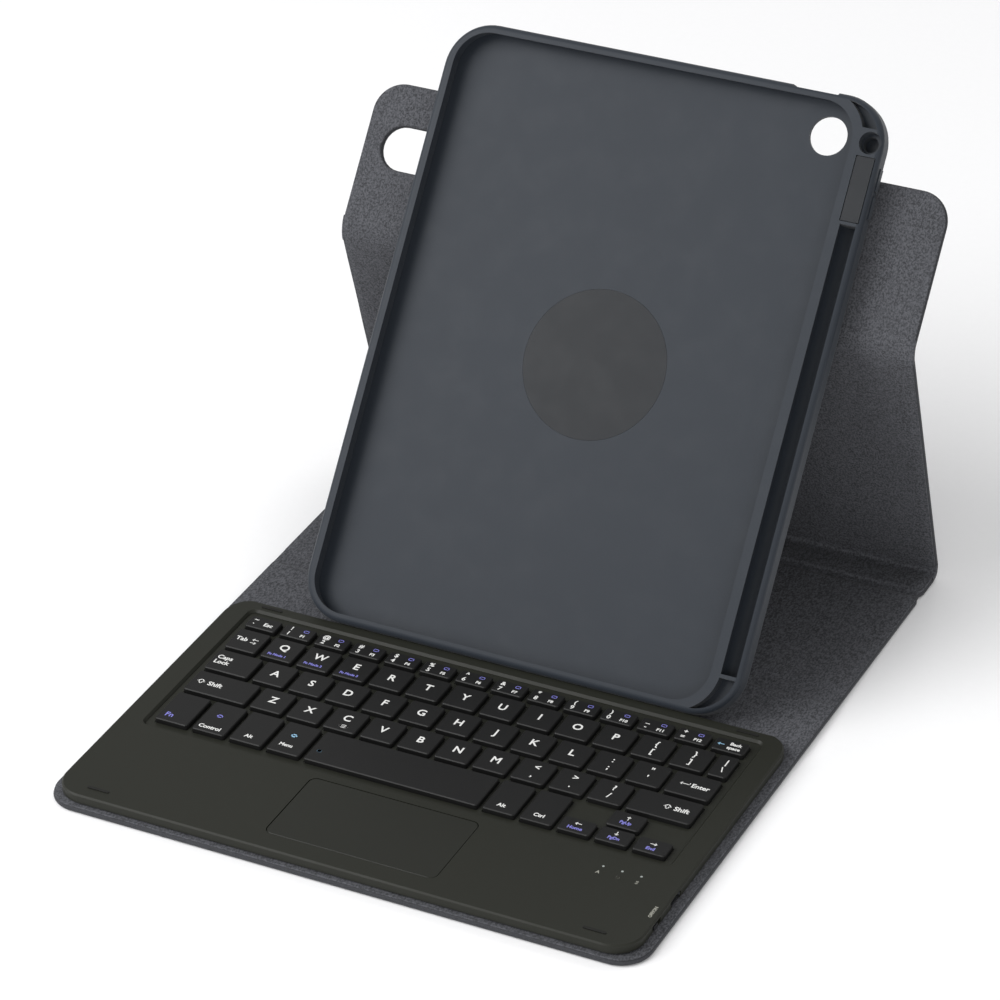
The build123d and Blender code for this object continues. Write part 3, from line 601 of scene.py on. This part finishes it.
def textMesh(text, size, bold=0.0):
    curve = bpy.data.curves.new("text", "FONT")
    curve.body = text
    curve.size = size * mm
    curve.align_x = "CENTER"
    curve.align_y = "CENTER"
    curve.offset = bold * mm
    curve.extrude = legend["thick"] / 2 * mm
    curve.resolution_u = 3
    holder = bpy.data.objects.new("text", curve)
    bpy.context.scene.collection.objects.link(holder)
    graph = bpy.context.evaluated_depsgraph_get()
    mesh = bpy.data.meshes.new_from_object(holder.evaluated_get(graph))
    bpy.data.objects.remove(holder)
    bpy.data.curves.remove(curve)
    return mesh


def strokeMesh(points, width, closed=False):
    # a flat line through points, all in mm
    line = bmesh.new()
    pairs = list(zip(points, points[1:] + points[:1])) if closed else list(zip(points, points[1:]))
    for (x0, y0), (x1, y1) in pairs:
        along = Vector((x1 - x0, y1 - y0, 0)).normalized()
        side = Vector((-along.y, along.x, 0)) * width / 2
        a, b = Vector((x0, y0, 0)) - along * width / 2, Vector((x1, y1, 0)) + along * width / 2
        ends = ((a, side), (a, -side), (b, -side), (b, side))
        corners = [line.verts.new((p + s + Vector((0, 0, h))) * mm)
                   for h in (-legend["thick"] / 2, legend["thick"] / 2) for p, s in ends]
        for face in ((3, 2, 1, 0), (4, 5, 6, 7), (0, 1, 5, 4), (1, 2, 6, 5), (2, 3, 7, 6), (3, 0, 4, 7)):
            line.faces.new([corners[k] for k in face])
    mesh = bpy.data.meshes.new("stroke")
    line.to_mesh(mesh)
    line.free()
    return mesh


class Sheet:
    # gathers the print on one body's keys
    def __init__(self, name, body):
        self.name, self.body, self.parts = name, body, []

    def put(self, mesh, x, y, z, material, turn=0.0):
        place = Matrix.Translation((x * mm, y * mm, (z + legend["lift"]) * mm))
        mesh.transform(place @ Matrix.Rotation(turn, 4, "Z"))
        self.parts.append((mesh, material))

    def text(self, words, x, y, z, size, material=None, bold=0.08, turn=0.0):
        self.put(textMesh(words, size, bold), x, y, z, material or whitePrint, turn)

    def line(self, points, x, y, z, width=0.28, material=None, closed=False):
        self.put(strokeMesh(points, width, closed), x, y, z, material or whitePrint)

    def finish(self):
        if self.parts:
            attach(joinMeshes(self.name, self.parts), self.body)


arrowShapes = {
    "left": [(1.3, 0), (-1.3, 0), (-0.5, 0.6), (-1.3, 0), (-0.5, -0.6)],
    "right": [(-1.3, 0), (1.3, 0), (0.5, 0.6), (1.3, 0), (0.5, -0.6)],
    "up": [(0, -1.1), (0, 1.1), (-0.6, 0.4), (0, 1.1), (0.6, 0.4)],
    "down": [(0, 1.1), (0, -1.1), (-0.6, -0.4), (0, -1.1), (0.6, -0.4)],
    "shift": [(-0.6, -1.1), (-0.6, 0.1), (-1.5, 0.1), (0, 1.5), (1.5, 0.1), (0.6, 0.1), (0.6, -1.1)],
    "enter": [(2.1, 0.9), (2.1, 0), (-1.9, 0), (-1.1, 0.6), (-1.9, 0), (-1.1, -0.6)],
    "frame": [(-1.0, -0.7), (1.0, -0.7), (1.0, 0.7), (-1.0, 0.7)],
}


def rowBody(node):
    return node + ("_caps" if node.startswith("keys_") else "_cap")


def keySpot(node, index=0, pitch=0.0, width=None):
    low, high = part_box(node)
    left, front, top = low.x / mm, low.y / mm, high.z / mm
    size = width or (high.x - low.x) / mm
    return left + index * pitch + size / 2, (front + high.y / mm) / 2, top, left + index * pitch, front


# number row: symbol over digit on the left, small icon over function number on the right
numberSheet = Sheet("legendsNumbers", rowBody("keys_number_row"))
numberPrint = {"side": -3.6, "apart": 1.75, "size": 3.3, "iconSide": 3.0, "iconUp": 1.7}
symbols = "!@#$%^&*()_+"
digits = "1234567890-="
for i in range(14):
    x, y, z, left, front = keySpot("keys_number_row", i, legend["numberPitch"], 13.8)
    if i == 0:
        numberSheet.text("~", x - 3.9, y + 1.6, z, 3.2)
        numberSheet.text("`", x - 4.0, y - 2.2, z, 3.2)
        numberSheet.text("Esc", x + 2.4, y - 0.6, z, 3.1)
    elif i == 13:
        numberSheet.line(arrowShapes["left"], x - 3.8, y, z, 0.3, skyPrint)
        numberSheet.text("Back", x + 2.0, y + 1.25, z, 2.5)
        numberSheet.text("space", x + 2.0, y - 1.4, z, 2.5)
    else:
        numberSheet.text(symbols[i - 1], x + numberPrint["side"], y + numberPrint["apart"], z,
                         numberPrint["size"])
        numberSheet.text(digits[i - 1], x + numberPrint["side"], y - numberPrint["apart"], z,
                         numberPrint["size"])
        numberSheet.text(f"F{i}", x + 2.9, y - 1.8, z, 2.3)
        numberSheet.line(arrowShapes["frame"], x + numberPrint["iconSide"], y + numberPrint["iconUp"], z, 0.3,
                         bluePrint, True)
numberSheet.finish()

letterRows = {"keys_upper_letters": "QWERTYUIOP", "keys_home_letters": "ASDFGHJKL", "keys_lower_letters": "ZXCVBNM"}
pairKeys = {"keys_upper_letters": ["{[", "}]", "|\\"], "keys_home_letters": [":;", "\"'"],
            "keys_lower_letters": ["<,", ">.", "?/"]}
for node, letters in letterRows.items():
    sheet = Sheet("legends" + node.split("_")[1].capitalize(), rowBody(node))
    for i, letter in enumerate(letters):
        x, y, z, left, front = keySpot(node, i, legend["letterPitch"], 14.2)
        modes = node == "keys_upper_letters" and i < 3
        sheet.text(letter, x, y + (1.2 if modes or letter == "C" else 0.2), z, legend["letter"], bold=0.11)
        if modes:
            sheet.text(f"Fn Mode {i + 1}", x - 0.6, y - 4.4, z, 1.9, bluePrint)
        if letter == "C":
            sheet.line(slotOutline(-1.9, 1.9, 0, 1.6), x + 0.9, y - 4.1, z, 0.3, closed=True)
            sheet.line([(-0.8, 0), (0.8, 0)], x + 0.9, y - 4.1, z, 0.3)
    for k, pair in enumerate(pairKeys[node]):
        i = len(letters) + k
        last = node == "keys_upper_letters" and k == 2
        x, y, z, left, front = keySpot(node, i, legend["letterPitch"], 8.0 if last else 14.2)
        sheet.text(pair[0], x + 0.4, y + 2.5, z, 4.4)
        sheet.text(pair[1], x + 0.4, y - 2.6, z, 4.4)
    sheet.finish()

# words and marks on the single keys: kind, what, offset from the key's left front corner, size, finish
singleLegends = {
    "key_tab": [("text", "Tab", 4.2, 7.4, 3.4, whitePrint), ("line", "left", 9.8, 8.5, 0.3, whitePrint),
                ("line", "right", 9.8, 6.3, 0.3, whitePrint)],
    "key_caps": [("text", "Caps", 5.0, 9.0, 3.4, whitePrint), ("text", "Lock", 4.9, 5.6, 3.4, whitePrint)],
    "key_shift_left": [("line", "shift", 4.2, 7.2, 0.42, whitePrint), ("text", "Shift", 10.6, 7.0, 3.6, whitePrint)],
    "key_shift_right": [("line", "shift", 14.6, 7.2, 0.42, whitePrint),
                        ("text", "Shift", 20.6, 7.0, 3.6, whitePrint)],
    "key_enter": [("line", "enter", 6.0, 7.0, 0.3, whitePrint), ("text", "Enter", 12.7, 6.9, 3.4, whitePrint)],
    "key_fn": [("text", "Fn", 4.4, 4.2, 3.8, bluePrint)],
    "key_control": [("text", "Control", 6.6, 3.0, 3.0, whitePrint), ("line", "frame", 6.6, 11.4, 0.5, bluePrint)],
    "key_alt_left": [("text", "Alt", 6.8, 4.2, 2.8, whitePrint)],
    "key_system": [("text", "Menu", 6.4, 5.0, 2.6, whitePrint), ("line", "frame", 6.4, 11.8, 0.6, skyPrint)],
    "key_space": [],
    "key_alt_right": [("text", "Alt", 6.4, 4.2, 2.8, whitePrint)],
    "key_control_right": [("text", "Ctrl", 6.6, 4.2, 2.8, whitePrint)],
    "key_arrow_left": [("line", "left", 6.8, 5.6, 0.32, whitePrint), ("text", "Home", 6.6, 2.6, 2.5, bluePrint)],
    "key_arrow_right": [("line", "right", 6.8, 5.6, 0.32, whitePrint), ("text", "End", 6.6, 2.6, 2.5, bluePrint)],
    "key_arrow_up": [("line", "up", 7.0, 6.2, 0.34, whitePrint), ("text", "PgUp", 7.0, 3.2, 2.3, bluePrint)],
    "key_arrow_down": [("line", "down", 7.0, 5.9, 0.34, whitePrint), ("text", "PgDn", 7.0, 2.8, 2.3, bluePrint)],
}
for node, marks in singleLegends.items():
    x, y, z, left, front = keySpot(node)
    sheet = Sheet("legend" + node[4:].title().replace("_", ""), rowBody(node))
    for kind, what, dx, dy, size, finishMaterial in marks:
        if kind == "text":
            sheet.text(what, left + dx, front + dy, z, size, finishMaterial)
        else:
            sheet.line(arrowShapes[what], left + dx, front + dy, z, size, finishMaterial, what in ("frame", "shift"))
    if node == "key_space":
        sheet.put(strokeMesh(arcPoints(0, 0, 0.42, 0, 330, 11), 0.9, True), -40.2, -70.6, z, skyPrint)
    sheet.finish()

# marks printed on the keyboard's deck
deck = {"lampX": (92.4, 100.3, 108.2), "iconY": -95.2, "switchText": (121.4, -109.0)}
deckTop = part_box("keyboard_top_frame")[1].z / mm
deckSheet = Sheet("deckPrint", "keyboard")
deckSheet.text("A", deck["lampX"][0] - 0.4, deck["iconY"], deckTop, 2.2, greyPrint)
deckSheet.put(strokeMesh(arcPoints(0, 0, 0.5, 0, 330, 8), 0.5, True), deck["lampX"][1], deck["iconY"],
              deckTop, greyPrint)
deckSheet.line([(-0.5, -0.7), (0.5, 0.5), (0, 1.0), (0, -1.0), (0.5, -0.5), (-0.5, 0.7)], deck["lampX"][2],
               deck["iconY"], deckTop, 0.26, greyPrint)
deckSheet.text("OFF/ON", *deck["switchText"], deckTop, 1.9, greyPrint, turn=radians(90))
deckSheet.finish()
print("legends printed")


# ---- stage, light and camera ----

view = {"place": (0.6997, -1.3271, 1.0355), "azimuth": 27.6, "elevation": 32.12, "roll": -1.82, "lens": 164.16}
studio = {"floor": (246, 246, 247), "floorHalf": 12, "floorDrop": 0.0002, "world": 0.5, "lampAim": (0, 0, 0.06)}
lamps = {  # in the order they are made
    "keyLamp": {"place": (-1.0, -0.75, 1.2), "size": (1.4, 1.1), "power": 26.0},
    "fillLamp": {"place": (1.5, -0.9, 1.1), "size": (1.4, 1.4), "power": 4.0, "colour": (1.0, 0.99, 0.97)},
    "lowLamp": {"place": (0.9, -1.6, 0.5), "size": (1.2, 0.8), "power": 8.0},
    "backLamp": {"place": (0.3, 1.5, 1.5), "size": (1.8, 1.0), "power": 9.0},
}

floorMesh = bpy.data.meshes.new("floor")
size = studio["floorHalf"]
floorMesh.from_pydata([(-size, -size, 0), (size, -size, 0), (size, size, 0), (-size, size, 0)], [], [(0, 1, 2, 3)])
floor = bpy.data.objects.new("floor", floorMesh)
floor.location.z = -studio["floorDrop"]
bpy.context.scene.collection.objects.link(floor)
floorFinish = Finish("paleFloor")
paper = floorFinish.noise(300, 2)
floorMesh.materials.append(floorFinish.done(
    floorFinish.blend(paper, shade(*studio["floor"], gain=0.98), shade(*studio["floor"])), 0.85))


def softLamp(name, place, size, power, colour=(1, 1, 1)):
    lamp = bpy.data.lights.new(name, "AREA")
    lamp.shape = "RECTANGLE"
    lamp.size, lamp.size_y = size
    lamp.energy = power
    lamp.color = colour
    holder = bpy.data.objects.new(name, lamp)
    holder.location = place
    holder.rotation_euler = (Vector(studio["lampAim"]) - Vector(place)).to_track_quat("-Z", "Y").to_euler()
    bpy.context.scene.collection.objects.link(holder)
    return holder


for name, lamp in lamps.items():
    softLamp(name, **lamp)
world = bpy.data.worlds.new("studioWorld")
world.use_nodes = True
world.node_tree.nodes["Background"].inputs["Color"].default_value = (1, 1, 1, 1)
world.node_tree.nodes["Background"].inputs["Strength"].default_value = studio["world"]
bpy.context.scene.world = world
bpy.context.scene.view_settings.view_transform = "Standard"

turn, tilt, roll = (radians(view[key]) for key in ("azimuth", "elevation", "roll"))
ahead = Vector((-sin(turn) * cos(tilt), cos(turn) * cos(tilt), -sin(tilt)))
right = Vector((cos(turn), sin(turn), 0))
up = right.cross(ahead)
cameraRight = cos(roll) * right + sin(roll) * up
cameraUp = cos(roll) * up - sin(roll) * right
camera = bpy.data.objects.new("camera", bpy.data.cameras.new("camera"))
camera.data.lens = view["lens"]
camera.data.sensor_width = 36
camera.data.clip_end = 60
place = Matrix((cameraRight, cameraUp, -ahead)).transposed().to_4x4()
place.translation = Vector(view["place"])
camera.matrix_world = place
bpy.context.scene.collection.objects.link(camera)
bpy.context.scene.camera = camera
print("camera and light set")
